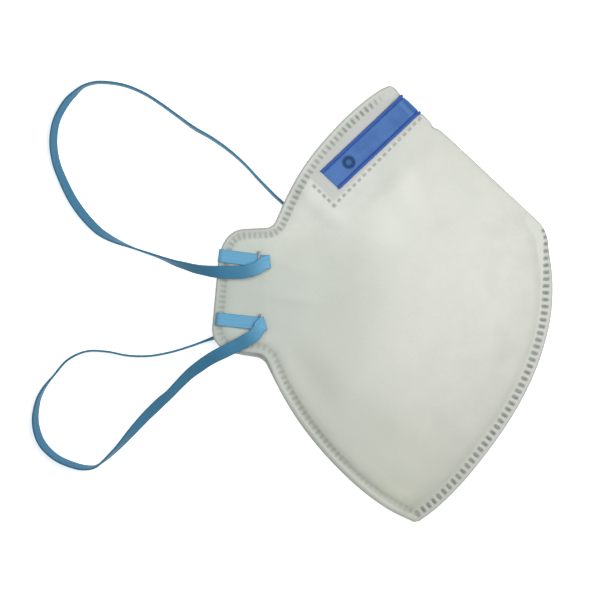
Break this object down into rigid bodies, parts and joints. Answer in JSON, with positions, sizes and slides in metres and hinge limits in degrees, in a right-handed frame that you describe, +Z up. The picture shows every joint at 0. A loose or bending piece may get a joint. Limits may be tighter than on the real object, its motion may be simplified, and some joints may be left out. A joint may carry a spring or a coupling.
{
  "type": "dust mask",
  "caption": "Flat-fold dust mask of white bonded non-woven sheet, with a blue nose clip over its fold and blue elastic head straps stapled to the ear tab, lying folded on its side",
  "frame": {"origin": "bottom centre of the bounding box: the middle of the mask with its straps as it lies, on the table surface under it", "axes": "+X points to the front of the folded mask, away from the ear tab and straps; +Y points to the nose tip, away from the chin; +Z is up from the table, through the thickness of the folded mask"},
  "size_m": [0.2003, 0.1696, 0.0198],
  "materials": {
    "white_nonwoven": "off-white bonded polypropylene non-woven, matt and slightly fuzzy",
    "blue_plastic": "moulded blue plastic, satin, with a gloss along the rails",
    "blue_elastic": "smooth blue elastic band with a satin sheen",
    "staple_wire": "bare zinc-coated steel wire"
  },
  "bodies": {
    "root": {"filter_body": "white_nonwoven", "nose_clip": "blue_plastic", "upper_strap": "blue_elastic", "lower_strap": "blue_elastic", "upper_near_staple": "staple_wire", "upper_far_staple": "staple_wire", "lower_near_staple": "staple_wire", "lower_far_staple": "staple_wire"}
  },
  "joints": []
}
